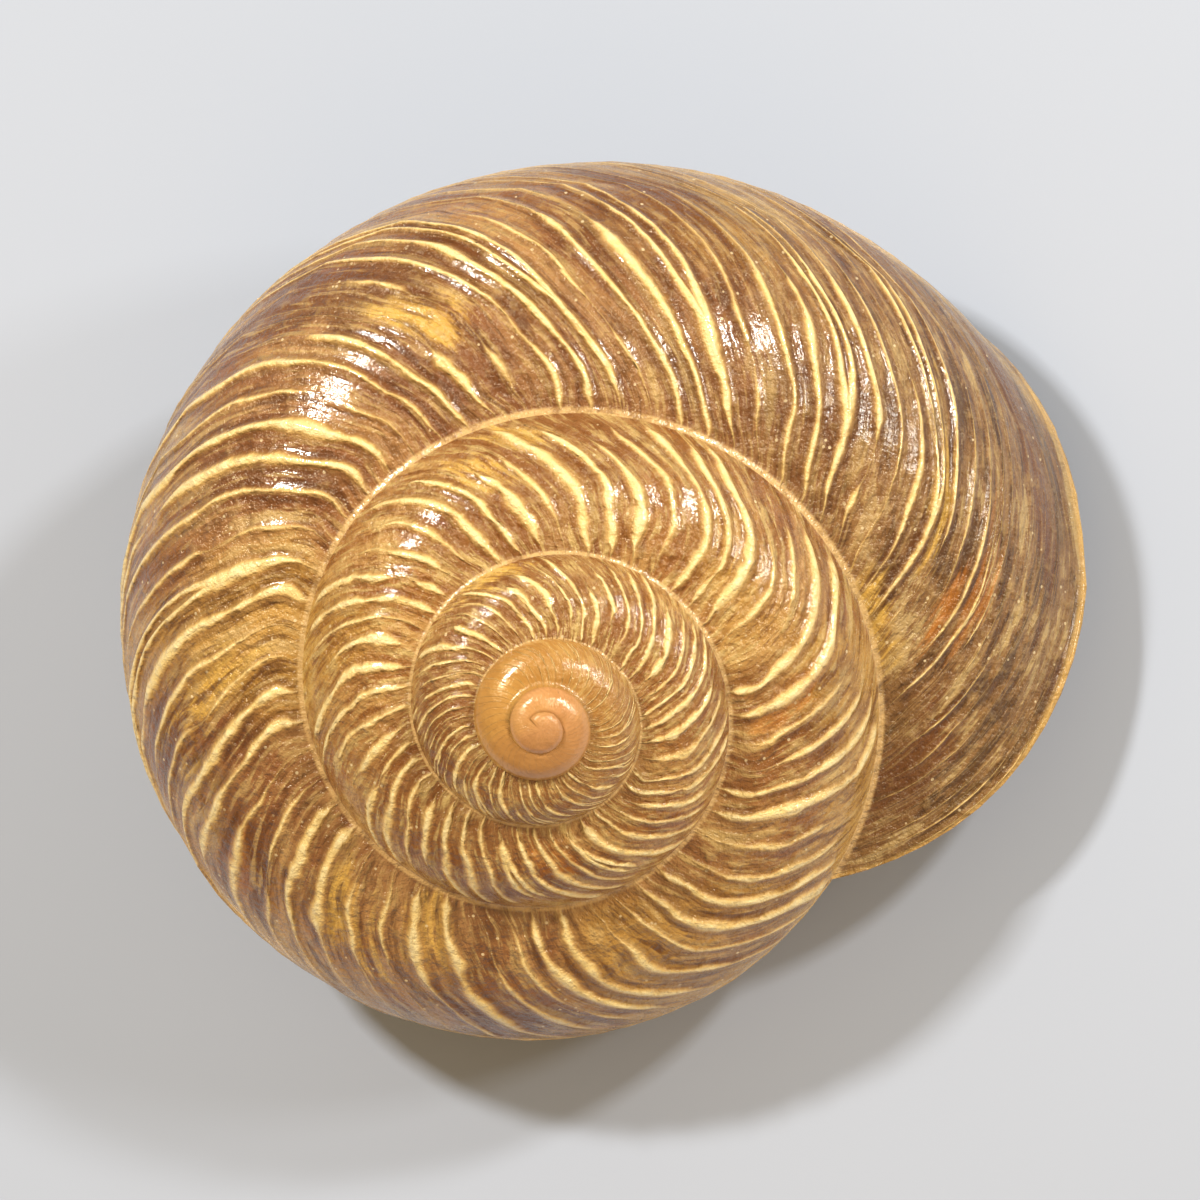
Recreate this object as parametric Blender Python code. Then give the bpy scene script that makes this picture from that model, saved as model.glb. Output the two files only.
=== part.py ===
"""The empty shell of a land snail: a low right-handed spiral of five and a half whorls, ribbed along its
growth lines. It is one piece, hollow behind a single open mouth, and lies on its base with its tip up.

The shell is worked out about its own axis, with the mouth below the tip. Turns are counted back from the
mouth: turn 0 is at the mouth and turn 1 is one whorl earlier. A whorl's outline is followed by a fraction:
0 at the upper seam, 1 at the seam with the next whorl, 2 at the lowest point of the base and 3 at the
axis. Growth lines slant: lower on the whorl they lie further back."""

import functools
import math
import random

import bmesh
import bpy
from mathutils import Matrix, Vector

MM = 0.001
TAU = 2 * math.pi

# Spiral
MOUTH_RADIUS = 11.44 * MM
MOUTH_AZIMUTH = math.radians(-36)
SHRINK = 0.5015
SHRINK_EARLY = 0.031
SPIRE_DEPTH = 0.779
LAST_DROP = 0.032
LAST_DROP_TURNS = 0.325
FIRST_TURN = 5.5

# Section of a whorl, per unit of the whorl's outer radius
HALF_WIDTH = 0.4785
HALF_HEIGHT = 0.400
SECTION_TILT = math.radians(9)
NAVEL_DEPTH = 0.78 * MOUTH_RADIUS
NAVEL_FIXED_TURNS = 1.1
BASE_REACH = 0.30
NAVEL_REACH = 0.12

# Growth lines and ribs
RIBS_PER_TURN = 60
STEPS_PER_TURN = 2 * RIBS_PER_TURN
SEAM_STEPS = 110
SLANT_CURVE = 1.3
MOUTH_LESS_CURVE = 0.3
MOUTH_EXTRA_SLANT = 14 / 360
BASE_SLANT = 62 / 360
BASE_CURVE = 0.8
BASE_SLANT_END = 1.5
RIB_RISE = 0.10 * MM
RIB_SINK = 0.05 * MM
RIB_SHRINK = 0.75
RIB_JITTER = 0.10 / RIBS_PER_TURN
RIB_FIRST_TURN = 3.05
RIB_SEED = 7
RIB_SIZES = (0.65, 1.1)
RIB_GROWS = (0, 0.12)
RIB_ENDS = (0.86, 1)
RIB_WEAKENS = (1.3, 2)
RIB_WEAK = 0.4
RIB_FADES = (2, 2.6)

# Wall and mouth
WALL = 0.36 * MM
CALLUS = 0.09 * MM
LIP_FLARE = 0.16 * MM
LIP_TURNS = 0.02
FLARE_GROWS = (0.1, 0.6)
FLARE_DOUBLES = (1.8, 2.5)
HOLLOW_TURNS = 1.5
HOLLOW_STEPS_PER_TURN = 24
UPRIGHT_BY = 0.5
UPRIGHT_LEAN = 0.2

# How it lies
REST_LEAN = math.radians(22.5)
REST_TOWARDS = math.radians(-60)
FLAT_DEPTH = 0.12 * MM

# Surface
COLOUR = (0.42, 0.21, 0.08, 1)
ROUGHNESS = 0.3

# Rows of points down a whorl, as fractions of its outline, and the step for slopes
NEAR = 0.005
UPPER_ROWS = (0.10, 0.28, 0.48, 0.68, 0.86)
EARLY_ROWS = (0.34, 0.70)
LOWER_ROWS = (1, 1.12, 1.28, 1.46, 1.64, 1.82, 2.0, 2.22, 2.46, 2.72)
EARLY_STEP = 2
WALL_ROWS = (0.13, 0.28, 0.48, 0.68, 0.86, 1, 1.16, 1.34, 1.54, 1.76, 2.0, 2.24, 2.48)
PARTITION_ROWS = (1.08, 1.2, 1.36, 1.56, 1.78, 2.0, 2.24, 2.48)
AXIS = 3


def smooth(low, high, value):
    """0 at or below low, 1 at or above high, and an even curve between."""
    t = min(1.0, max(0.0, (value - low) / (high - low)))
    return t * t * (3 - 2 * t)


# Whorls


def whorl_radius(turn):
    return MOUTH_RADIUS * math.exp(-(SHRINK * turn + SHRINK_EARLY * turn * turn))


def section(turn):
    """Centre and half axes of the tilted ellipse that a whorl's outline follows."""
    outer = whorl_radius(turn)
    wide = HALF_WIDTH * outer
    high = HALF_HEIGHT * outer
    reach = math.hypot(wide * math.cos(SECTION_TILT), high * math.sin(SECTION_TILT))
    drop = LAST_DROP * MOUTH_RADIUS * smooth(0, 1, 1 - turn / LAST_DROP_TURNS)
    return outer - reach, -SPIRE_DEPTH * outer - drop, wide, high


def on_section(turn, angle):
    """(distance from the axis, height) at an angle round the section, from its top towards its outer side."""
    middle, level, wide, high = section(turn)
    across, up = wide * math.sin(angle), high * math.cos(angle)
    c, s = math.cos(SECTION_TILT), math.sin(SECTION_TILT)
    return middle + across * c + up * s, level - across * s + up * c


def in_section(turn, place):
    """(how far outside the section a place is, its angle round the section)."""
    middle, level, wide, high = section(turn)
    out, up = place[0] - middle, place[1] - level
    c, s = math.cos(SECTION_TILT), math.sin(SECTION_TILT)
    across, along = (out * c - up * s) / wide, (out * s + up * c) / high
    return math.hypot(across, along) - 1, math.atan2(across, along)


@functools.lru_cache(maxsize=None)
def cover_angle(turn):
    """The angle at which the next whorl out covers this one: their seam."""
    low, high = math.radians(20), math.radians(125)
    for _ in range(40):
        middle = (low + high) / 2
        if in_section(turn - 1, on_section(turn, middle))[0] > 0:
            low = middle
        else:
            high = middle
    return low


@functools.lru_cache(maxsize=None)
def leave_angle(turn):
    """The angle at which this whorl leaves the one before it: the upper seam."""
    return in_section(turn, on_section(turn + 1, cover_angle(turn + 1)))[1]


def bottom_angle():
    return math.pi - math.atan(HALF_WIDTH / HALF_HEIGHT * math.tan(SECTION_TILT))


def navel_level(turn):
    """Height at which the whorl's base meets the axis. It is the same all round the last whorl."""
    if turn <= NAVEL_FIXED_TURNS:
        return -NAVEL_DEPTH
    return -NAVEL_DEPTH * whorl_radius(turn) / whorl_radius(NAVEL_FIXED_TURNS)


def outline(turn, fraction):
    """(distance from the axis, height) on a whorl's outline."""
    if fraction <= 1:
        start, end = leave_angle(turn), cover_angle(turn)
        return on_section(turn, start + (end - start) * fraction)
    if fraction <= 2:
        start, end = cover_angle(turn), bottom_angle()
        return on_section(turn, start + (end - start) * (fraction - 1))
    radius, level = on_section(turn, bottom_angle())
    navel = navel_level(turn)
    t = fraction - 2
    weights = ((1 - t) ** 3, 3 * t * (1 - t) ** 2, 3 * t * t * (1 - t), t**3)
    radii = (radius, BASE_REACH * radius, NAVEL_REACH * radius, 0)
    levels = (level, level, navel, navel)
    return sum(w * r for w, r in zip(weights, radii)), sum(w * z for w, z in zip(weights, levels))


# Growth lines, numbered back from the mouth: odd ones run along ribs, even ones between them


@functools.lru_cache(maxsize=None)
def line_turn(line):
    """The turn at which a growth line leaves the upper seam."""
    if line % 2 == 0 and line > 0:
        return (line_turn(line - 1) + line_turn(line + 1)) / 2
    shift = random.Random(RIB_SEED + line).uniform(-RIB_JITTER, RIB_JITTER)
    return line / STEPS_PER_TURN + (shift if line else 0)


def mouth_share(line):
    """1 at the mouth's edge, falling to 0 within the last whorl: there the lines lean over further."""
    return max(0, 1 - line / SEAM_STEPS) ** 3


def seam_slant(line):
    """How far back a growth line has fallen where it reaches the lower seam, in turns."""
    if line >= SEAM_STEPS:
        return line_turn(line - SEAM_STEPS) + 1 - line_turn(line)
    return 1 - SEAM_STEPS / STEPS_PER_TURN + MOUTH_EXTRA_SLANT * mouth_share(line)


def base_slant(fraction):
    """How much further back it falls below that seam."""
    return BASE_SLANT * min(max(fraction - 1, 0), BASE_SLANT_END) ** BASE_CURVE


def slant(line, fraction):
    curve = SLANT_CURVE - MOUTH_LESS_CURVE * mouth_share(line)
    return seam_slant(line) * min(fraction, 1) ** curve + base_slant(fraction)


# The outside


def bare_point(turn, fraction):
    """A point of the outside, without ribs."""
    radius, level = outline(turn, fraction)
    azimuth = MOUTH_AZIMUTH + TAU * turn
    return Vector((radius * math.cos(azimuth), radius * math.sin(azimuth), level))


def outward(turn, fraction):
    """The outside's normal, from places beside, above and below this one."""
    back = bare_point(turn + NEAR, fraction) - bare_point(turn - NEAR, fraction)
    down = bare_point(turn, fraction + NEAR) - bare_point(turn, max(fraction - NEAR, 0))
    return down.cross(back).normalized()


def rib_height(line, fraction):
    """The shell rises along odd lines and sinks between. Ribs die out at the seams and fade on the base."""
    turn = line_turn(line)
    if turn > RIB_FIRST_TURN:
        return 0
    size = (RIB_RISE if line % 2 else -RIB_SINK) * (whorl_radius(turn) / MOUTH_RADIUS) ** RIB_SHRINK
    size *= random.Random(RIB_SEED - line).uniform(*RIB_SIZES) * smooth(*RIB_GROWS, fraction)
    if line >= SEAM_STEPS:
        return size * (1 - smooth(*RIB_ENDS, fraction))
    return size * (1 - (1 - RIB_WEAK) * smooth(*RIB_WEAKENS, fraction)) * (1 - smooth(*RIB_FADES, fraction))


def lip_flare(line, fraction):
    """The mouth's edge turns outwards, most of all beside the axis."""
    near = max(0.0, 1 - line_turn(line) / LIP_TURNS)
    return LIP_FLARE * near**2 * smooth(*FLARE_GROWS, fraction) * (1 + smooth(*FLARE_DOUBLES, fraction))


def outer_point(line, fraction):
    turn = line_turn(line) + slant(line, fraction)
    raised = rib_height(line, fraction) + lip_flare(line, fraction)
    return bare_point(turn, fraction) + outward(turn, fraction) * raised


# The solid


def stitch(mesh, first, second):
    """Fills the strip between two chains of (place, vertex) pairs, always on to the place that comes next."""
    i, j = 0, 0
    while i + 1 < len(first) or j + 1 < len(second):
        ahead = first[i + 1][0] if i + 1 < len(first) else math.inf
        other = second[j + 1][0] if j + 1 < len(second) else math.inf
        if ahead <= other:
            corners = (first[i][1], first[i + 1][1], second[j][1])
            i += 1
        else:
            corners = (first[i][1], second[j + 1][1], second[j][1])
            j += 1
        if len(set(corners)) == len(corners):
            mesh.faces.new(corners)


def line_numbers():
    """The growth lines that start at the upper seam: all of them where there are ribs, then every second."""
    numbers, line = [], 0
    while line_turn(line) < FIRST_TURN - 1:
        numbers.append(line)
        line += 1 if line_turn(line + 1) < RIB_FIRST_TURN else EARLY_STEP
    return numbers


def build_outside(mesh):
    """The outside from the tip to the mouth. Returns the mouth's edge as a closed chain."""
    numbers = line_numbers()
    oldest = numbers[-1]
    seam = {n: mesh.verts.new(outer_point(n, 0)) for n in numbers}
    tip = mesh.verts.new((0, 0, bare_point(FIRST_TURN, 0).z))
    navel = mesh.verts.new((0, 0, -NAVEL_DEPTH))

    def chain(line):
        start = seam.get(line, tip)
        rows = UPPER_ROWS if line_turn(line) < RIB_FIRST_TURN else EARLY_ROWS
        if line < SEAM_STEPS:
            rows += LOWER_ROWS
        points = [(row, mesh.verts.new(outer_point(line, row))) for row in rows]
        if line == SEAM_STEPS:
            points.append((1, seam[0]))
            points += [(row, mesh.verts.new(outer_point(line, row))) for row in LOWER_ROWS[1:]]
        if line <= SEAM_STEPS:
            return [(0, start), *points, (AXIS, navel)]
        return [(0, start), *points, (1, seam[line - SEAM_STEPS])]

    order = numbers + list(range(oldest + EARLY_STEP, oldest + SEAM_STEPS + 1, EARLY_STEP))
    chains = {n: chain(n) for n in order}
    for newer, older in zip(order, order[1:]):
        first, second = chains[newer], chains[older]
        if newer >= SEAM_STEPS:
            first = [pair for pair in first if pair[0] <= 1]
            between = range(older - SEAM_STEPS - 1, newer - SEAM_STEPS, -1)
            second = second + [(2, seam[n]) for n in between if n in seam]
        if newer == oldest:
            first = [(-1, tip), *first]
        stitch(mesh, first, second)
    stitch(mesh, chains[order[-1]], [(0, tip), (1, seam[oldest])])

    parting = [(2 * AXIS - row, corner) for row, corner in reversed(chains[SEAM_STEPS]) if 1 <= row < AXIS]
    return chains[0] + parting


def build_hollow(mesh):
    """The inside, from the mouth back to where it is closed off. Returns its edge at the mouth."""

    def ring(back):
        """Down the inside of the outer wall, then up the side of the whorl before."""
        lean = 1 - (1 - UPRIGHT_LEAN) * smooth(0, UPRIGHT_BY, back)
        size = math.sqrt(whorl_radius(back) / MOUTH_RADIUS)
        points = []
        for row in WALL_ROWS:
            turn = back + lean * slant(0, row)
            points.append((row, bare_point(turn, row) - outward(turn, row) * WALL * size))
        for row in reversed(PARTITION_ROWS):
            turn = back + 1 + lean * base_slant(row)
            points.append((2 * AXIS - row, bare_point(turn, row) + outward(turn, row) * CALLUS * size))
        corners = [(place, mesh.verts.new(point)) for place, point in points]
        return [*corners, (2 * AXIS, corners[0][1])]

    steps = round(HOLLOW_TURNS * HOLLOW_STEPS_PER_TURN)
    rings = [ring(step / HOLLOW_STEPS_PER_TURN) for step in range(steps + 1)]
    for newer, older in zip(rings, rings[1:]):
        stitch(mesh, older, newer)
    end = [corner.co for _, corner in rings[-1][1:]]
    middle = mesh.verts.new(sum(end, Vector()) / len(end))
    stitch(mesh, [(0, middle)], rings[-1])
    return rings[0]


def rest(mesh):
    """Turns the shell from its own axis to how it lies, with the places that it rests on worn flat."""
    axis = Vector((-math.sin(REST_TOWARDS), math.cos(REST_TOWARDS), 0))
    mesh.transform(Matrix.Rotation(REST_LEAN, 4, axis))
    box = [[corner.co[i] for corner in mesh.verts] for i in range(3)]
    ground = min(box[2]) + FLAT_DEPTH
    middle = [(min(side) + max(side)) / 2 for side in box[:2]]
    mesh.transform(Matrix.Translation((-middle[0], -middle[1], -ground)))
    for corner in mesh.verts:
        corner.co.z = max(corner.co.z, 0)


def shell_mesh():
    mesh = bmesh.new()
    stitch(mesh, build_outside(mesh), build_hollow(mesh))
    bmesh.ops.recalc_face_normals(mesh, faces=mesh.faces)
    rest(mesh)
    return mesh


def main():
    for old in list(bpy.data.objects):
        bpy.data.objects.remove(old)
    material = bpy.data.materials.new("shell")
    material.use_nodes = True
    surface = material.node_tree.nodes["Principled BSDF"]
    surface.inputs["Base Color"].default_value = COLOUR
    surface.inputs["Roughness"].default_value = ROUGHNESS
    surface.inputs["Metallic"].default_value = 0

    data = bpy.data.meshes.new("shell")
    mesh = shell_mesh()
    mesh.to_mesh(data)
    mesh.free()
    data.materials.append(material)
    shell = bpy.data.objects.new("shell", data)
    group = bpy.data.collections.new("land_snail_shell")
    bpy.context.scene.collection.children.link(group)
    group.objects.link(shell)


main()
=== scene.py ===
"""The looks of a ribbed land snail shell: one fine mesh, grown by the same rules as the solid that it stands for,
with a glossy brown skin, cream ribs, pale seams and a smooth amber tip, seen from above as in the photograph."""

import math

import bpy
import numpy as np
from mathutils import Matrix, Vector


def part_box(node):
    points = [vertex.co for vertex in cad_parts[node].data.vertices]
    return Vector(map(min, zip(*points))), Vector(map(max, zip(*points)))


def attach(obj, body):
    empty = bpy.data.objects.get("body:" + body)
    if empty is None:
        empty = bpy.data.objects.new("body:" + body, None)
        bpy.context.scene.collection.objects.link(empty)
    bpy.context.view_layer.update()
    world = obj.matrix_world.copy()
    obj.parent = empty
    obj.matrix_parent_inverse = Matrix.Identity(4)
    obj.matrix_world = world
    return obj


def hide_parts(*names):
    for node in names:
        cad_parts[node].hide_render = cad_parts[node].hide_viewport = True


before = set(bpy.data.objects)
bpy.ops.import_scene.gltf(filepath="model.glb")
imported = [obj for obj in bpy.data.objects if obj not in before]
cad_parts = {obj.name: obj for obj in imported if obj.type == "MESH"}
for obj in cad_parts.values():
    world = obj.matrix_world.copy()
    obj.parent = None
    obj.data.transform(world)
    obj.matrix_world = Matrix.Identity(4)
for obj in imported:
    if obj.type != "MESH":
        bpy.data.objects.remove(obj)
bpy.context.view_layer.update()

MM = 0.001
TAU = 2 * math.pi

# Spiral
MOUTH_RADIUS = 11.44 * MM
MOUTH_AZIMUTH = math.radians(-36)
SHRINK = 0.5015
SHRINK_EARLY = 0.031
SPIRE_DEPTH = 0.779
LAST_DROP = 0.032
LAST_DROP_TURNS = 0.325
FIRST_TURN = 5.5

# Section of a whorl, per unit of the whorl's outer radius
HALF_WIDTH = 0.4785
HALF_HEIGHT = 0.400
SECTION_TILT = math.radians(9)
NAVEL_DEPTH = 0.78 * MOUTH_RADIUS
NAVEL_FIXED_TURNS = 1.1
BASE_REACH = 0.30
NAVEL_REACH = 0.12

# Growth lines, in turns
SEAM_SLANT = 1 / 12
SLANT_CURVE = 1.3
MOUTH_LESS_CURVE = 0.3
MOUTH_EXTRA_SLANT = 14 / 360
BASE_SLANT = 62 / 360
BASE_CURVE = 0.8
BASE_SLANT_END = 1.5

# Ribs
EARLY_RIBS = 45
LATE_RIBS = 13
LATE_RIB_TURNS = 0.35
LIP_RIBS = 5
LIP_RIB_TURNS = 0.06
RIB_FIRST_TURN = 3.7
RIB_FADE_TURNS = 1.1
RIB_RISE = 0.10 * MM
RIB_SINK = 0.04 * MM
RIB_SHRINK = 0.75
RIB_HALF_WIDTH = 0.16
FORK_REACH = 0.19
STRIA_RISE = 0.012 * MM

# Painted rim light: a golden band round the last whorl's widest part, laid where the outline falls in the camera's
# view
WIDEST_TURNS = (0.3, 0.7, 0.78, 0.9)
WIDEST_ROWS = (1.23, 1.0, 1.0, 1.045)

# How far the seams of the smooth tip are filled in, per unit of the whorl's radius
TIP_FILL = 0.06
TIP_FILL_REACH = 0.16

# Patches of colour, each by the turn and row of its middle and its reach in turns and rows
PATCHES = {
    "yellow": (
        (0.365, 0.43, 0.016, 0.16),
        (0.575, 0.45, 0.018, 0.25),
        (0.711, 0.37, 0.018, 0.28),
        (0.767, 0.20, 0.020, 0.22),
        (0.126, 0.50, 0.008, 0.28),
        (0.132, 0.03, 0.030, 0.10),
        (1.302, 0.81, 0.020, 0.15),
        (1.352, 0.65, 0.020, 0.20),
        (2.345, 0.90, 0.060, 0.20),
    ),
    "shade": (
        (0.370, 0.92, 0.024, 0.24),
        (0.235, 0.85, 0.030, 0.20),
        (0.110, 1.15, 0.020, 0.20),
        (0.042, 0.95, 0.018, 0.25),
        (0.045, 0.12, 0.030, 0.16),
        (0.326, 0.73, 0.010, 0.12),
        (0.576, 0.72, 0.018, 0.16),
        (0.647, 0.60, 0.012, 0.25),
        (0.800, 0.68, 0.036, 0.14),
        (1.840, 0.45, 0.050, 0.20),
    ),
    "rust": (
        (0.083, 0.46, 0.008, 0.22),
        (0.100, 0.30, 0.006, 0.14),
        (0.640, 0.60, 0.012, 0.20),
        (1.083, 0.35, 0.014, 0.28),
        (1.840, 0.30, 0.040, 0.20),
    ),
}

# Wall and mouth
WALL = 0.36 * MM
LIP_WALL = 0.24 * MM
CALLUS = 0.09 * MM
LIP_FLARE = 0.16 * MM
LIP_TURNS = 0.02
LIP_ROUND = 0.35
LIP_DEPTHS = (0.12, 0.35, 0.65, 0.88)
WALL_START_ROW = 0.1
PARTITION_START_ROW = 1.08
HOLLOW_END_ROW = 2.48
HOLLOW_TURNS = 1.5
UPRIGHT_BY = 0.5
UPRIGHT_LEAN = 0.2

# How it lies
REST_LEAN = math.radians(22.5)
REST_TOWARDS = math.radians(-60)
FLAT_DEPTH = 0.12 * MM

# Fineness of the mesh
STEPS_PER_TURN = 720
SEAM_STEPS = round(STEPS_PER_TURN * (1 - SEAM_SLANT))
EARLY_STEP = 3
TIP_STEP = 6
FINE_TURNS = 3.1
RINGS_PER_TURN = 80
NEAR = 0.003
AXIS = 3

# Camera, in the photograph's pixels and the view that its seams were fitted through
PHOTO_SIDE = 1200
PIXEL = 11.3 / 617.6 * MM
TIP_PIXEL = (541, 732)
CAMERA_PIXELS = 6000
VIEW_LEAN = math.radians(10.9)
VIEW_TOWARDS = math.radians(261.1)
CAMERA_CLIP_START = 0.005

# Floor and lamps
FLOOR_SIDE = 0.6
LAMP_DISTANCE = 0.12
LAMP_AIM_HEIGHT = 0.005
WARM_WHITE = (1.0, 0.96, 0.88)
AMBER = (1.0, 0.60, 0.22)


# Numbers


def smooth(low, high, value):
    """0 at or below low, 1 at or above high, and an even curve between."""
    t = np.clip((value - low) / (high - low), 0, 1)
    return t * t * (3 - 2 * t)


def chance(seed, *keys):
    """An even random number from 0 to 1 for whole-number keys, the same each run."""
    mixed = np.full(np.broadcast(*keys).shape, seed * 7919 + 104729, np.uint64)
    for key in keys:
        mixed = (mixed ^ (np.asarray(key).astype(np.int64).astype(np.uint64) + np.uint64(0x9E3779B9))) * np.uint64(
            0xBF58476D1CE4E5B9
        )
        mixed ^= mixed >> np.uint64(29)
    return (mixed >> np.uint64(11)).astype(float) / 2**53


def ripple(seed, place, key=0):
    """Smooth noise from -1 to 1 along a line, one unit from bump to bump. Each whole-number key has its own."""
    low = np.floor(place)
    t = smooth(0, 1, place - low)
    key = np.broadcast_to(key, np.shape(place))
    return 2 * (chance(seed, low, key) * (1 - t) + chance(seed, low + 1, key) * t) - 1


def noise(seed, across, along):
    """Smooth noise from -1 to 1 over a plane."""
    low = np.floor(along)
    t = smooth(0, 1, along - low)
    return ripple(seed, across, low) * (1 - t) + ripple(seed, across, low + 1) * t


# Whorls


def whorl_radius(turn):
    return MOUTH_RADIUS * np.exp(-(SHRINK * turn + SHRINK_EARLY * turn * turn))


def section(turn):
    """Centre and half axes of the tilted ellipse that a whorl's outline follows."""
    outer = whorl_radius(turn)
    wide = HALF_WIDTH * outer
    high = HALF_HEIGHT * outer
    reach = np.hypot(wide * math.cos(SECTION_TILT), high * math.sin(SECTION_TILT))
    drop = LAST_DROP * MOUTH_RADIUS * smooth(0, 1, 1 - turn / LAST_DROP_TURNS)
    return outer - reach, -SPIRE_DEPTH * outer - drop, wide, high


def on_section(turn, angle):
    """Distance from the axis and height at an angle round the section, from its top towards its outer side."""
    middle, level, wide, high = section(turn)
    across, up = wide * np.sin(angle), high * np.cos(angle)
    c, s = math.cos(SECTION_TILT), math.sin(SECTION_TILT)
    return middle + across * c + up * s, level - across * s + up * c


def in_section(turn, radius, height):
    """How far outside the section a place is, and its angle round the section."""
    middle, level, wide, high = section(turn)
    out, up = radius - middle, height - level
    c, s = math.cos(SECTION_TILT), math.sin(SECTION_TILT)
    across, along = (out * c - up * s) / wide, (out * s + up * c) / high
    return np.hypot(across, along) - 1, np.arctan2(across, along)


def find_cover_angles(turn):
    """The angle at which the next whorl out covers each of these turns: their seam."""
    low, high = np.full_like(turn, math.radians(20)), np.full_like(turn, math.radians(125))
    for _ in range(40):
        middle = (low + high) / 2
        outside = in_section(turn - 1, *on_section(turn, middle))[0] > 0
        low, high = np.where(outside, middle, low), np.where(outside, high, middle)
    return low


SAMPLE_TURNS = np.linspace(-0.5, FIRST_TURN + 2.5, 6000)
COVER_ANGLES = find_cover_angles(SAMPLE_TURNS)


def cover_angle(turn):
    return np.interp(turn, SAMPLE_TURNS, COVER_ANGLES)


def leave_angle(turn):
    """The angle at which this whorl leaves the one before it: the upper seam."""
    return in_section(turn, *on_section(turn + 1, cover_angle(turn + 1)))[1]


BOTTOM_ANGLE = math.pi - math.atan(HALF_WIDTH / HALF_HEIGHT * math.tan(SECTION_TILT))


def outline(turn, row):
    """Distance from the axis and height on a whorl's outline. Rows run from 0 at the upper seam by 1 at the
    next whorl's seam and 2 at the lowest point of the base to 3 at the axis."""
    start, seam = leave_angle(turn), cover_angle(turn)
    angle = np.where(row <= 1, start + (seam - start) * row, seam + (BOTTOM_ANGLE - seam) * np.clip(row - 1, 0, 1))
    radius, level = on_section(turn, angle)
    navel = -NAVEL_DEPTH * whorl_radius(np.maximum(turn, NAVEL_FIXED_TURNS)) / whorl_radius(NAVEL_FIXED_TURNS)
    t = np.clip(row - 2, 0, 1)
    first, second, third, fourth = (1 - t) ** 3, 3 * t * (1 - t) ** 2, 3 * t * t * (1 - t), t**3
    near = first + second * BASE_REACH + third * NAVEL_REACH
    return radius * near, level * (first + second) + navel * (third + fourth)


def bare_points(turn, row):
    """Points of the outside, without ribs."""
    radius, level = outline(turn, row)
    azimuth = MOUTH_AZIMUTH + TAU * turn
    return np.stack([radius * np.cos(azimuth), radius * np.sin(azimuth), level], 1)


def outward(turn, row):
    """The outside's normals, from places beside, above and below."""
    back = bare_points(turn + NEAR, row) - bare_points(turn - NEAR, row)
    down = bare_points(turn, row + NEAR) - bare_points(turn, np.maximum(row - NEAR, 0))
    normal = np.cross(down, back)
    return normal / np.maximum(np.linalg.norm(normal, axis=1, keepdims=True), 1e-15)


# Growth lines, numbered back from the mouth


def base_slant(row):
    return BASE_SLANT * np.clip(row - 1, 0, BASE_SLANT_END) ** BASE_CURVE


def slant(line, row):
    """How far back a growth line has fallen at any place down the whorl, in turns."""
    share = np.maximum(0, 1 - line / SEAM_STEPS) ** 3
    seam = SEAM_SLANT + MOUTH_EXTRA_SLANT * share
    return seam * np.minimum(row, 1) ** (SLANT_CURVE - MOUTH_LESS_CURVE * share) + base_slant(row)


# Ribs


def before_tip(turn):
    """1 where there are ribs, falling to 0 towards the smooth tip."""
    return 1 - smooth(RIB_FIRST_TURN - RIB_FADE_TURNS, RIB_FIRST_TURN, turn)


def rib_number(line):
    """Ribs counted back from the mouth. They stand a little closer on the last whorl."""
    turn = line / STEPS_PER_TURN
    late = LATE_RIBS * (1 - np.exp(-turn / LATE_RIB_TURNS))
    at_lip = LIP_RIBS * (1 - np.exp(-turn / LIP_RIB_TURNS))
    return EARLY_RIBS * turn + (late + at_lip)


def wandering(line, row):
    """The rib number at a place, bent and crowded as the real ribs are. A rib's crest is where it ends in a half."""
    number = rib_number(line)
    crowding = 0.24 * ripple(1, number / 1.9) * smooth(0, 0.15, row)
    bends = 0.28 * noise(2, number / 3.1, row / 0.42) + 0.12 * noise(3, number / 1.3, row / 0.15)
    bends = bends + 0.26 * noise(18, number / 6, row / 0.5)
    return number + crowding + bends * smooth(0, 0.12, row)


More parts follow.
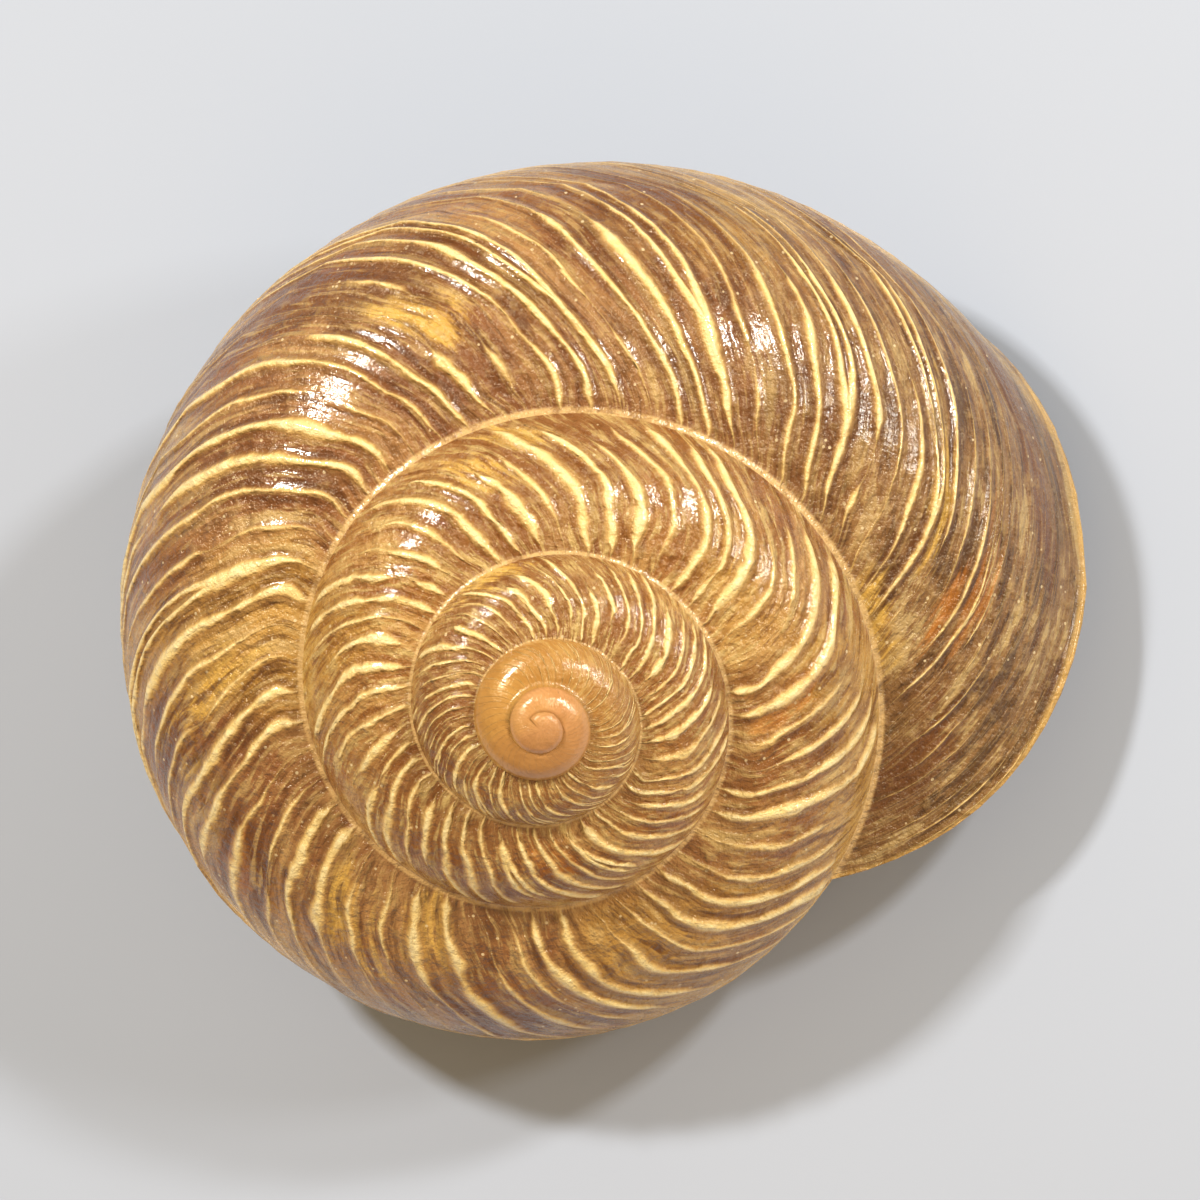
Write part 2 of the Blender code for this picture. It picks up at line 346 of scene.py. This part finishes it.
def rib_growth(line, row):
    """How much of a rib there is at each place, from 0 to 1, and how wide it is and how far apart its two
    crests are where it forks, in ribs."""
    number = wandering(line, row)
    which = np.floor(number)
    turn = line / STEPS_PER_TURN
    fork = smooth(0, 0.25, row - 0.2 - 0.6 * chance(4, which)) * (chance(5, which) > 0.82)
    late = 1 - smooth(0.05, 0.28, turn)
    scar = smooth(0.340, 0.358, turn) * (1 - smooth(0.384, 0.400, turn)) * smooth(0.22, 0.4, row)
    at_lip = 1 - smooth(0.06, 0.14, turn)
    swell = 0.85 + 0.22 * chance(6, which) + 0.2 * ripple(7, row / 0.19, which)
    broad = smooth(0.62, 0.8, turn) * (1 - smooth(1.05, 1.15, turn))
    broad = broad * smooth(-0.3, 0.5, noise(16, number / 3, row / 0.6))
    width = RIB_HALF_WIDTH * swell * (1 - 0.3 * fork) * (1 - 0.2 * late) * (1 + 0.35 * broad)
    width = width * (1 + 0.2 * smooth(0.9, 1.3, turn))
    gaps = ripple(8, row / 0.33 + 9 * chance(9, which), which) + 0.45 * noise(10, number / 4, row / 0.4)
    whole = 0.08 + 0.92 * smooth(-0.85, -0.4, gaps - 1.1 * scar - 0.2 * late)
    begins = 0.05 + 0.36 * chance(11, which) ** 2
    ends = 1 - 0.35 * chance(12, which) ** 2
    strength = whole * (0.42 + 0.66 * chance(13, which)) * (1 - 0.35 * late) * smooth(0, begins, row)
    faint = smooth(0.72, 1.08, row + 0.25 * noise(15, number / 2.5, row / 0.3))
    strength = strength * (1 - 0.65 * faint * (1 - smooth(0.25, 0.42, turn)))
    strength = strength * (1 - 0.85 * at_lip * smooth(0.3, 0.55, row + 0.3 * noise(17, number / 3, row / 0.4)))
    under = smooth(0.55, 0.70, turn) * (1 - smooth(0.86, 0.92, turn))
    strength = strength * (1 - 0.7 * under * smooth(0.55, 0.8, row + 0.35 * noise(19, number / 2.5, row / 0.3)))
    covered = 1 - smooth(ends - 0.1, ends, row)
    strength = strength * np.where(line >= SEAM_STEPS, covered, 1 - 0.5 * smooth(1.3, 2, row))
    strength = strength * (1 - smooth(2.1, 2.8, row))
    strength = strength * before_tip(turn)
    return np.clip(strength, 0, 1), width, FORK_REACH * fork


def rib_form(line, row):
    strength, width, split = rib_growth(line, row)
    number = wandering(line, row)
    aside = np.abs(np.abs(number - np.floor(number) - 0.5) - split)
    return strength * np.exp(-((aside / width) ** 2))


def striae(line, row):
    """Fine growth lines between the ribs, from -1 to 1."""
    fine = noise(14, wandering(line, row) * 3.1, row / 0.5)
    return fine * before_tip(line / STEPS_PER_TURN)


def lip_flare(line, row):
    """The mouth's edge turns outwards, most of all beside the axis."""
    near = np.maximum(0, 1 - line / STEPS_PER_TURN / LIP_TURNS)
    return LIP_FLARE * near**2 * smooth(0.1, 0.6, row) * (1 + smooth(1.8, 2.5, row))


# Places on the mesh are kept as (kind, line, row, depth) until all of them are known

OUTSIDE, WALL_SIDE, PARTITION_SIDE, TIP, NAVEL = range(5)


def even_rows(start, end, count):
    return [start + (end - start) * i / count for i in range(1, count)]


UPPER_ROWS = {
    "last": even_rows(0, 1, 30),
    "middle": even_rows(0, 1, 24),
    "early": even_rows(0, 1, 16),
    "tip": even_rows(0, 1, 8),
}
LOWER_ROWS = even_rows(1, 2, 22) + even_rows(1.95, 3, 13)
WALL_ROWS = [WALL_START_ROW, *even_rows(WALL_START_ROW, 1, 11), 1, *even_rows(1, HOLLOW_END_ROW, 16), HOLLOW_END_ROW]
PARTITION_ROWS = [PARTITION_START_ROW, *even_rows(PARTITION_START_ROW, HOLLOW_END_ROW, 15), HOLLOW_END_ROW]


class Places:
    """Vertices by (kind, line, row, depth), and faces whose corners each have a line and a row of their own,
    because a vertex on a seam belongs to two whorls."""

    def __init__(self):
        self.rows = []
        self.faces = []
        self.corners = []

    def add(self, kind, line, row, depth=0.0):
        self.rows.append((kind, line, row, depth))
        return len(self.rows) - 1

    def add_face(self, *corners):
        """A face of (place, vertex, line, row) corners. A vertex that comes twice counts once."""
        kept = list({corner[1]: corner for corner in corners}.values())
        if len(kept) > 2:
            self.faces.append(tuple(corner[1] for corner in kept))
            self.corners += [corner[2:] for corner in kept]

    def stitch(self, first, second):
        """Fills the strip between two chains of corners, always on to the place that comes next."""
        i, j = 0, 0
        while i + 1 < len(first) or j + 1 < len(second):
            ahead = first[i + 1][0] if i + 1 < len(first) else math.inf
            other = second[j + 1][0] if j + 1 < len(second) else math.inf
            if ahead == other:
                self.add_face(first[i], first[i + 1], second[j + 1], second[j])
                i, j = i + 1, j + 1
            elif ahead < other:
                self.add_face(first[i], first[i + 1], second[j])
                i += 1
            else:
                self.add_face(first[i], second[j + 1], second[j])
                j += 1


def line_numbers():
    numbers, line = [], 0
    while line < (FIRST_TURN - 1) * STEPS_PER_TURN:
        numbers.append(line)
        line += 1 if line < FINE_TURNS * STEPS_PER_TURN else EARLY_STEP
    return numbers


def rows_above(line):
    turn = line / STEPS_PER_TURN
    return UPPER_ROWS["last" if turn < 1 else "middle" if turn < 2 else "early" if turn < FINE_TURNS else "tip"]


def lay_outside(places):
    """The outside from the tip to the mouth. Returns the mouth's edge as a chain."""
    numbers = line_numbers()
    oldest = numbers[-1]
    seam = {n: places.add(OUTSIDE, n, 0) for n in numbers}
    tip = places.add(TIP, 0, 0)
    navel = places.add(NAVEL, 0, AXIS)

    def chain(line):
        found = [(0, seam.get(line, tip), line, 0)]
        found += [(row, places.add(OUTSIDE, line, row), line, row) for row in rows_above(line)]
        if line > SEAM_STEPS:
            return [*found, (1, seam[line - SEAM_STEPS], line, 1)]
        found.append((1, seam[0] if line == SEAM_STEPS else places.add(OUTSIDE, line, 1), line, 1))
        found += [(row, places.add(OUTSIDE, line, row), line, row) for row in LOWER_ROWS]
        return [*found, (AXIS, navel, line, AXIS)]

    order = numbers + list(range(oldest + TIP_STEP, oldest + SEAM_STEPS + 1, TIP_STEP))
    chains = {n: chain(n) for n in order}
    for newer, older in zip(order, order[1:]):
        first, second = chains[newer], chains[older]
        if newer >= SEAM_STEPS:
            first = [corner for corner in first if corner[0] <= 1]
            between = range(older - SEAM_STEPS - 1, newer - SEAM_STEPS, -1)
            second = second + [(2, seam[n], n + SEAM_STEPS, 1) for n in between if n in seam]
        if newer == oldest:
            first = [(-1, tip, oldest, 0), *first]
        places.stitch(first, second)
    places.stitch(chains[order[-1]], [(0, tip, order[-1], 0), (1, seam[oldest], order[-1], 1)])
    below = [corner for corner in chains[SEAM_STEPS] if 1 <= corner[0] < AXIS]
    return chains[0] + [(2 * AXIS - corner[0], *corner[1:]) for corner in reversed(below)]


def lay_hollow(places, edge):
    """The rounded lip and the inside, from the mouth's edge back to where the hollow is closed off."""

    def ring(back, depth):
        line = back * STEPS_PER_TURN
        found = [(row, places.add(WALL_SIDE, back, row, depth), line, row) for row in WALL_ROWS]
        found += [
            (2 * AXIS - row, places.add(PARTITION_SIDE, back, row, depth), line, 2 * AXIS - row)
            for row in reversed(PARTITION_ROWS)
        ]
        return [*found, (2 * AXIS, found[0][1], line, 2 * AXIS)]

    def shared_out(side):
        """The corners of one side of a ring, each at its share of the way down."""
        return [(i / (len(side) - 1), *corner[1:]) for i, corner in enumerate(side)]

    rings = [edge] + [ring(0, depth) for depth in LIP_DEPTHS]
    rings += [ring(step / RINGS_PER_TURN, 1) for step in range(round(HOLLOW_TURNS * RINGS_PER_TURN) + 1)]
    for newer, older in zip(rings, rings[1:]):
        places.stitch(older, newer)
    last = rings[-1]
    wall, partition = last[: len(WALL_ROWS)], last[-2 : len(WALL_ROWS) - 1 : -1]
    places.stitch(shared_out(partition), shared_out(wall))


def place_outside(line, row):
    turn = line / STEPS_PER_TURN + slant(line, row)
    size = (whorl_radius(line / STEPS_PER_TURN) / MOUTH_RADIUS) ** RIB_SHRINK
    raised = (RIB_RISE * rib_form(line, row) - RIB_SINK) * before_tip(turn)
    raised = (raised + STRIA_RISE * striae(line, row)) * size
    raised = raised * np.where(line >= SEAM_STEPS, 1, 1 - smooth(2.3, 2.9, row)) + lip_flare(line, row)
    near_seam = np.exp(-((row / TIP_FILL_REACH) ** 2)) + np.exp(-(((1 - row) / TIP_FILL_REACH) ** 2))
    raised = raised + TIP_FILL * whorl_radius(turn) * near_seam * smooth(3.1, 3.8, turn)
    return bare_points(turn, row) + outward(turn, row) * raised[:, None]


def hollow_size(back):
    return np.sqrt(whorl_radius(back) / MOUTH_RADIUS)


def lean_inside(back):
    return 1 - (1 - UPRIGHT_LEAN) * smooth(0, UPRIGHT_BY, back)


def place_wall(back, row, depth):
    """The inside of the outer wall. Where depth is under 1 it is the round of the lip."""
    turn = back + lean_inside(back) * slant(np.zeros_like(row), row)
    thick = (LIP_WALL + (WALL - LIP_WALL) * smooth(0, 0.05, back)) * hollow_size(back)
    flare = lip_flare(np.zeros_like(row), row) * (1 - smooth(0, LIP_TURNS * 2, back)) * (1 - 0.4 * depth)
    bulge = LIP_ROUND * LIP_WALL * 4 * depth * (1 - depth)
    ahead = bare_points(turn - NEAR, row) - bare_points(turn + NEAR, row)
    ahead = ahead / np.linalg.norm(ahead, axis=1, keepdims=True)
    point = bare_points(turn, row) + outward(turn, row) * (flare - thick * depth)[:, None]
    return point + ahead * (bulge * smooth(0.1, 0.4, row))[:, None]


def place_partition(back, row, depth):
    """The side of the whorl before, under its callus."""
    turn = back + 1 + lean_inside(back) * base_slant(row)
    return bare_points(turn, row) + outward(turn, row) * (CALLUS * hollow_size(back) * depth)[:, None]


def rest_placement(points):
    """The matrix from the shell's own axis to how it lies, fitted to the solid's box."""
    turned = Matrix.Rotation(REST_LEAN, 4, Vector((-math.sin(REST_TOWARDS), math.cos(REST_TOWARDS), 0)))
    lying = points @ np.array(turned.to_3x3()).T
    low, high = lying.min(0), lying.max(0)
    solid_low, solid_high = (np.array(corner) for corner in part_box("shell"))
    shift = (solid_low + solid_high) / 2 - (low + high) / 2
    shift[2] = solid_low[2] - FLAT_DEPTH - low[2]
    return Matrix.Translation(shift) @ turned


def build_shell():
    places = Places()
    edge = lay_outside(places)
    lay_hollow(places, edge)
    kind, line, row, depth = np.array(places.rows, float).T
    points = np.zeros((len(kind), 3))
    out, wall, partition = kind == OUTSIDE, kind == WALL_SIDE, kind == PARTITION_SIDE
    points[out] = place_outside(line[out], row[out])
    points[wall] = place_wall(line[wall], row[wall], depth[wall])
    points[partition] = place_partition(line[partition], row[partition], depth[partition])
    points[kind == TIP] = (0, 0, bare_points(np.array([FIRST_TURN]), np.array([0.0]))[0, 2])
    points[kind == NAVEL] = (0, 0, -NAVEL_DEPTH)

    placement = rest_placement(points)
    turned = np.array(placement)
    points = points @ turned[:3, :3].T + turned[:3, 3]
    points[:, 2] = np.maximum(points[:, 2], 0)

    mesh = bpy.data.meshes.new("shell_skin")
    mesh.from_pydata(points.tolist(), [], places.faces)
    mesh.shade_smooth()
    kinds = kind[np.array([corner for face in places.faces for corner in face])]
    paint(mesh, kinds, *np.array(places.corners, float).T)
    shell = bpy.data.objects.new("shell_skin", mesh)
    bpy.context.scene.collection.objects.link(shell)
    return shell, placement


def paint(mesh, kinds, line, row):
    """Keeps each face corner's place in the shell's growth for the material to read."""
    on_outside = (kinds != WALL_SIDE) & (kinds != PARTITION_SIDE)
    turn = line / STEPS_PER_TURN
    # painted rim light: a golden band just above the row where the outline falls, fading out towards the lip
    above_widest = np.interp(turn, WIDEST_TURNS, WIDEST_ROWS) - row
    painted_rim_light = (1 - smooth(0.03, 0.09, above_widest)) * smooth(-0.06, 0, above_widest)
    strength, width, split = rib_growth(line, row)
    values = {
        "growth": wandering(line, row),
        "row": row,
        "turn": turn,
        "rib": strength * on_outside,
        "rib_width": width,
        "rib_split": split,
        "painted_rim_light": painted_rim_light * (1 - smooth(0.88, 0.93, turn)),
        "inside": 1.0 - on_outside,
    }
    for name, spots in PATCHES.items():
        near = [np.exp(-(((turn - t) / dt) ** 2) - ((row - r) / dr) ** 2) for t, r, dt, dr in spots]
        values[name] = np.minimum(sum(near), 1)
    for name, value in values.items():
        mesh.attributes.new(name, "FLOAT", "CORNER").data.foreach_set("value", value.astype(np.float32))


# Materials


class Nodes:
    """Short ways to add and join shader nodes."""

    def __init__(self, material):
        material.use_nodes = True
        self.tree = material.node_tree
        self.shader = self.tree.nodes["Principled BSDF"]

    def put(self, value, socket):
        if isinstance(value, bpy.types.NodeSocket):
            self.tree.links.new(value, socket)
        elif socket.type == "RGBA" and len(value) == 3:
            socket.default_value = (*value, 1)
        else:
            socket.default_value = value

    def attribute(self, name):
        node = self.tree.nodes.new("ShaderNodeAttribute")
        node.attribute_name = name
        return node.outputs["Fac"]

    def math(self, operation, first, second=0.0):
        node = self.tree.nodes.new("ShaderNodeMath")
        node.operation = operation
        self.put(first, node.inputs[0])
        self.put(second, node.inputs[1])
        return node.outputs[0]

    def ramp(self, value, low, high, start=0.0, end=1.0):
        """start at or below low, end at or above high, and an even curve between."""
        node = self.tree.nodes.new("ShaderNodeMapRange")
        node.interpolation_type = "SMOOTHSTEP"
        for socket, number in zip(node.inputs[1:5], (low, high, start, end)):
            socket.default_value = number
        self.put(value, node.inputs[0])
        return node.outputs[0]

    def mix(self, share, first, second):
        node = self.tree.nodes.new("ShaderNodeMix")
        node.data_type = "RGBA"
        self.put(share, node.inputs["Factor"])
        self.put(first, node.inputs[6])
        self.put(second, node.inputs[7])
        return node.outputs[2]

    def vector(self, x, y, z=0.0):
        node = self.tree.nodes.new("ShaderNodeCombineXYZ")
        for socket, value in zip(node.inputs, (x, y, z)):
            self.put(value, socket)
        return node.outputs[0]

    def noise(self, vector, scale, detail=2.0, roughness=0.5):
        node = self.tree.nodes.new("ShaderNodeTexNoise")
        self.put(vector, node.inputs["Vector"])
        node.inputs["Scale"].default_value = scale
        node.inputs["Detail"].default_value = detail
        node.inputs["Roughness"].default_value = roughness
        return node.outputs["Fac"]

    def speck(self, vector, scale):
        """1 inside small sparse dots and 0 between them."""
        node = self.tree.nodes.new("ShaderNodeTexVoronoi")
        self.put(vector, node.inputs["Vector"])
        node.inputs["Scale"].default_value = scale
        chosen = self.ramp(self.math("FRACT", self.math("MULTIPLY", node.outputs["Color"], 7.0)), 0.80, 0.82)
        return self.math("MULTIPLY", self.ramp(node.outputs["Distance"], 0.20, 0.12), chosen)

    def bump(self, height, distance, strength, normal=None):
        node = self.tree.nodes.new("ShaderNodeBump")
        node.inputs["Strength"].default_value = strength
        node.inputs["Distance"].default_value = distance
        self.put(height, node.inputs["Height"])
        if normal:
            self.put(normal, node.inputs["Normal"])
        return node.outputs[0]


def shell_material():
    material = bpy.data.materials.new("ribbed_shell")
    n = Nodes(material)
    names = ("growth", "row", "turn", "rib", "rib_width", "rib_split", "painted_rim_light", "inside", "yellow", "shade", "rust")
    growth, row, turn, rib, width, split, painted_rim_light, inside, yellow, shade, rust = (n.attribute(name) for name in names)
    place = n.tree.nodes.new("ShaderNodeTexCoord").outputs["Object"]

    # a rib's form across, from its own numbers
    bend = n.noise(n.vector(n.math("MULTIPLY", growth, 0.35), n.math("MULTIPLY", row, 9.0)), 1.0, 2)
    bent = n.math("ADD", growth, n.math("MULTIPLY", n.math("SUBTRACT", bend, 0.5), 0.22))
    aside = n.math("ABSOLUTE", n.math("SUBTRACT", n.math("FRACT", bent), 0.5))
    aside = n.math("DIVIDE", n.math("ABSOLUTE", n.math("SUBTRACT", aside, split)), width)
    which = n.math("FLOOR", bent)
    along = n.noise(n.vector(n.math("MULTIPLY", which, 7.3), n.math("MULTIPLY", row, 6.0)), 1.0, 3, 0.6)
    strength = n.math("MULTIPLY", rib, n.ramp(along, 0.3, 0.6, 0.5, 1.0))
    glow = n.ramp(n.math("SUBTRACT", n.math("MULTIPLY", strength, 2.2), aside), -0.5, 1.2)
    glow = n.math("MULTIPLY", glow, n.ramp(rib, 0.0, 0.3, 0.0, 0.62))
    crest = n.ramp(n.math("SUBTRACT", n.math("MULTIPLY", strength, 1.5), aside), -0.25, 0.5)
    core = n.ramp(n.math("SUBTRACT", n.math("MULTIPLY", strength, 1.25), aside), 0.05, 0.7)
    # painted shade: a dark line along the foot of each rib, partly darker pigment beside the rib
    beside = n.math("MULTIPLY", n.ramp(aside, 2.9, 1.8), n.ramp(rib, 0.2, 0.7))

    # noise along the growth lines, then noise through space
    streaks = n.noise(n.vector(n.math("MULTIPLY", growth, 1.5), n.math("MULTIPLY", row, 2.4)), 1.0, 5, 0.65)
    threads = n.noise(n.vector(n.math("MULTIPLY", growth, 4.2), n.math("MULTIPLY", row, 4.5), 7.0), 1.0, 3, 0.6)
    bands = n.noise(n.vector(n.math("MULTIPLY", growth, 0.6), n.math("MULTIPLY", row, 1.3), 3.0), 1.0, 2)
    blotches = n.noise(place, 420, 3, 0.55)
    grains = n.noise(place, 6000, 2, 0.5)
    mottle = n.noise(place, 3200, 4, 0.6)
    clouds = n.noise(place, 170, 2, 0.5)

    # the skin between the ribs, lighter on the early whorls and olive towards the mouth
    early = n.ramp(turn, 0.55, 1.6)
    late = n.ramp(turn, 0.34, 0.08)
    tip = n.ramp(turn, 2.70, 3.60)
    brown = n.mix(early, (0.44, 0.218, 0.075), (0.52, 0.280, 0.084))
    red = n.mix(early, (0.25, 0.090, 0.028), (0.37, 0.156, 0.036))
    dark = n.mix(early, (0.100, 0.026, 0.003), (0.190, 0.052, 0.003))
    pale = n.mix(early, (0.59, 0.38, 0.140), (0.69, 0.49, 0.180))
    rough_edge = n.math("MULTIPLY", n.math("SUBTRACT", streaks, 0.52), 3.2)

    def roughened(patch, side):
        """A soft patch with its edge broken up along the growth lines."""
        broken = n.ramp(n.math("ADD", patch, n.math("MULTIPLY", rough_edge, side)), 0.3, 0.8)
        return n.math("MULTIPLY", n.ramp(patch, 0.05, 0.3), broken)

    yellow, shade, rust = roughened(yellow, 1.0), roughened(shade, -1.0), roughened(rust, 1.0)
    ground = n.mix(n.ramp(bands, 0.43, 0.57), red, brown)
    ground = n.mix(n.ramp(clouds, 0.53, 0.62, 0, 0.55), ground, (0.60, 0.34, 0.060))
    ground = n.mix(n.ramp(clouds, 0.46, 0.38, 0, 0.45), ground, (0.20, 0.075, 0.030))
    ground = n.mix(n.ramp(streaks, 0.52, 0.64, 0, 0.85), ground, pale)
    ground = n.mix(n.ramp(streaks, 0.47, 0.36, 0, 0.8), ground, dark)
    grown = n.noise(n.vector(n.math("MULTIPLY", turn, 80.0), n.math("MULTIPLY", row, 3.5), 11.0), 1.0, 5, 0.68)
    olive = n.mix(n.ramp(grown, 0.43, 0.51), (0.070, 0.025, 0.007), (0.24, 0.118, 0.040))
    olive = n.mix(n.ramp(grown, 0.53, 0.60), olive, (0.50, 0.34, 0.140))
    ground = n.mix(n.math("MULTIPLY", late, 0.9), ground, olive)
    ground = n.mix(n.ramp(blotches, 0.44, 0.32, 0, 0.6), ground, dark)
    ground = n.mix(n.math("MULTIPLY", yellow, n.ramp(threads, 0.40, 0.56, 0.25, 0.75)), ground, (0.84, 0.50, 0.090))
    ground = n.mix(n.math("MULTIPLY", shade, 0.8), ground, (0.150, 0.044, 0.009))
    ground = n.mix(n.math("MULTIPLY", rust, 0.6), ground, (0.58, 0.19, 0.018))
    finer = n.math("SUBTRACT", 1.0, n.math("MULTIPLY", late, 0.6))
    ground = n.mix(n.math("MULTIPLY", finer, n.ramp(threads, 0.52, 0.66, 0, 0.65)), ground, pale)
    ground = n.mix(n.math("MULTIPLY", finer, n.ramp(threads, 0.47, 0.35, 0, 0.6)), ground, dark)
    ground = n.mix(n.ramp(mottle, 0.54, 0.70, 0, 0.3), ground, pale)
    ground = n.mix(n.ramp(mottle, 0.44, 0.32, 0, 0.35), ground, dark)
    # small pale specks, partly dust and partly painted glints
    ground = n.mix(n.math("MULTIPLY", n.speck(place, 5200), 0.7), ground, (0.90, 0.72, 0.42))
    # painted shade at the foot of each rib, partly darker pigment
    ground = n.mix(n.math("MULTIPLY", beside, 0.42), ground, dark)
    # painted rim light: a golden band along the outline, broken up along the growth lines
    ground = n.mix(n.math("MULTIPLY", painted_rim_light, n.ramp(threads, 0.38, 0.58, 0.25, 0.85)), ground, (0.94, 0.60, 0.17))

    # the smooth tip
    amber = n.mix(n.ramp(turn, 3.3, 4.3), (0.50, 0.240, 0.050), (0.62, 0.295, 0.110))
    amber = n.mix(n.ramp(blotches, 0.45, 0.60, 0, 0.6), amber, (0.62, 0.335, 0.080))
    amber = n.mix(n.ramp(mottle, 0.48, 0.36, 0, 0.25), amber, (0.36, 0.150, 0.022))
    ground = n.mix(tip, ground, amber)

    # each rib from its foot to its crest
    honey = n.mix(early, (0.56, 0.28, 0.080), (0.66, 0.36, 0.105))
    gold = n.mix(early, (0.75, 0.49, 0.165), (0.80, 0.53, 0.190))
    cream = n.mix(n.ramp(mottle, 0.35, 0.6), (0.90, 0.67, 0.27), (0.95, 0.77, 0.39))
    coloured = n.mix(glow, ground, honey)
    coloured = n.mix(crest, coloured, gold)
    coloured = n.mix(core, coloured, cream)

    # seams, the mouth's edge and the inside
    lower_seam = n.math("MULTIPLY", n.ramp(row, 0.98, 0.99), n.ramp(turn, 0.89, 0.92))
    seam = n.math("MAXIMUM", n.ramp(row, 0.024, 0.010), lower_seam)
    seam = n.math("MULTIPLY", seam, n.math("MULTIPLY", n.ramp(row, 1.01, 1.0), n.ramp(turn, 3.1, 2.7)))
    seam = n.math("MULTIPLY", seam, n.ramp(mottle, 0.32, 0.55, 0.25, 0.85))
    coloured = n.mix(seam, coloured, (0.78, 0.50, 0.20))
    lip = n.math("MULTIPLY", n.ramp(growth, 0.8, 0.0), n.ramp(row, 2.95, 2.6))
    coloured = n.mix(n.math("MULTIPLY", lip, 0.7), coloured, (0.78, 0.47, 0.13))

    nacre = n.mix(n.ramp(streaks, 0.3, 0.7), (0.33, 0.17, 0.085), (0.50, 0.32, 0.18))
    coloured = n.mix(inside, coloured, nacre)
    n.put(coloured, n.shader.inputs["Base Color"])

    # gloss and the finest relief, which is weaker in the coat, so that its glints break up but stay bright
    rough = n.ramp(mottle, 0.3, 0.75, 0.14, 0.36)
    rough = n.math("SUBTRACT", rough, n.math("MULTIPLY", tip, 0.06))
    n.put(rough, n.shader.inputs["Roughness"])
    worn = n.math("SUBTRACT", 1.0, n.math("MULTIPLY", tip, 0.8))
    raised = n.bump(crest, 0.03 * MM, 0.8)
    lines = n.bump(n.math("MULTIPLY", threads, worn), 0.06 * MM, 0.7, raised)
    pits = n.bump(n.math("MULTIPLY", grains, worn), 0.06 * MM, 0.8, lines)
    n.put(n.bump(n.math("MULTIPLY", mottle, worn), 0.18 * MM, 0.8, pits), n.shader.inputs["Normal"])
    glaze = n.bump(n.math("MULTIPLY", threads, worn), 0.02 * MM, 0.8)
    n.put(n.bump(n.math("MULTIPLY", mottle, worn), 0.028 * MM, 0.8, glaze), n.shader.inputs["Coat Normal"])
    n.shader.inputs["IOR"].default_value = 1.53
    n.shader.inputs["Specular Tint"].default_value = (1.0, 0.88, 0.66, 1)
    n.shader.inputs["Coat Weight"].default_value = 0.7
    n.shader.inputs["Coat Roughness"].default_value = 0.09
    n.shader.inputs["Sheen Weight"].default_value = 0.4
    n.shader.inputs["Sheen Roughness"].default_value = 0.25
    n.shader.inputs["Sheen Tint"].default_value = (1.0, 0.58, 0.14, 1)
    return material


def floor_material():
    material = bpy.data.materials.new("floor")
    n = Nodes(material)
    place = n.tree.nodes.new("ShaderNodeTexCoord").outputs["Object"]
    n.put(n.mix(n.noise(place, 60, 2), (0.44, 0.492, 0.600), (0.46, 0.512, 0.620)), n.shader.inputs["Base Color"])
    n.shader.inputs["Roughness"].default_value = 0.8
    return material


# Stage


def make_floor():
    bpy.ops.mesh.primitive_plane_add(size=FLOOR_SIDE, location=(0, 0, 0))
    floor = bpy.context.object
    floor.name = "floor"
    floor.data.materials.append(floor_material())


def photo_matrix(placement):
    """From the photograph's own directions, right, up and towards the camera, to the world's."""
    leaning = Matrix.Rotation(VIEW_LEAN, 4, Vector((-math.sin(VIEW_TOWARDS), math.cos(VIEW_TOWARDS), 0)))
    tip_aside = (TIP_PIXEL[0] - PHOTO_SIDE / 2) * PIXEL
    tip_up = (PHOTO_SIDE / 2 - TIP_PIXEL[1]) * PIXEL
    return placement @ leaning.inverted() @ Matrix.Translation((-tip_aside, -tip_up, 0))


def make_camera(view):
    data = bpy.data.cameras.new("camera")
    data.lens = data.sensor_width * CAMERA_PIXELS / PHOTO_SIDE
    data.clip_start = CAMERA_CLIP_START
    camera = bpy.data.objects.new("camera", data)
    camera.matrix_world = view @ Matrix.Translation((0, 0, CAMERA_PIXELS * PIXEL))
    bpy.context.scene.collection.objects.link(camera)
    bpy.context.scene.camera = camera


def make_light(name, view, azimuth, tilt, size, strength, colour):
    """A soft square lamp, placed by its direction in the photograph and its tilt away from the camera."""
    data = bpy.data.lights.new(name, "AREA")
    data.size = size
    data.energy = strength * math.pi * LAMP_DISTANCE**2
    data.color = colour
    lamp = bpy.data.objects.new(name, data)
    azimuth, tilt = math.radians(azimuth), math.radians(tilt)
    away = Vector((math.sin(tilt) * math.cos(azimuth), math.sin(tilt) * math.sin(azimuth), math.cos(tilt)))
    away = (view.to_3x3() @ away).normalized()
    lamp.location = Vector((0, 0, LAMP_AIM_HEIGHT)) + away * LAMP_DISTANCE
    lamp.rotation_mode = "QUATERNION"
    lamp.rotation_quaternion = away.to_track_quat("Z", "Y")
    bpy.context.scene.collection.objects.link(lamp)


def make_world():
    world = bpy.data.worlds.new("studio")
    world.use_nodes = True
    background = world.node_tree.nodes["Background"]
    background.inputs["Color"].default_value = (1.0, 0.80, 0.52, 1)
    background.inputs["Strength"].default_value = 0.38
    bpy.context.scene.world = world
    bpy.context.scene.view_settings.view_transform = "Standard"


shell, placement = build_shell()
shell.data.materials.append(shell_material())
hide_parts("shell")
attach(shell, "root")

make_floor()
view = photo_matrix(placement)
make_camera(view)
make_light("left_lamp", view, 142, 50, 0.012, 2.5, WARM_WHITE)
make_light("right_lamp", view, 46, 46, 0.012, 1.72, WARM_WHITE)
make_light("low_lamp", view, 20, 48, 0.016, 0.9, WARM_WHITE)
make_light("fill_lamp", view, 262, 42, 0.09, 0.5, AMBER)
make_world()
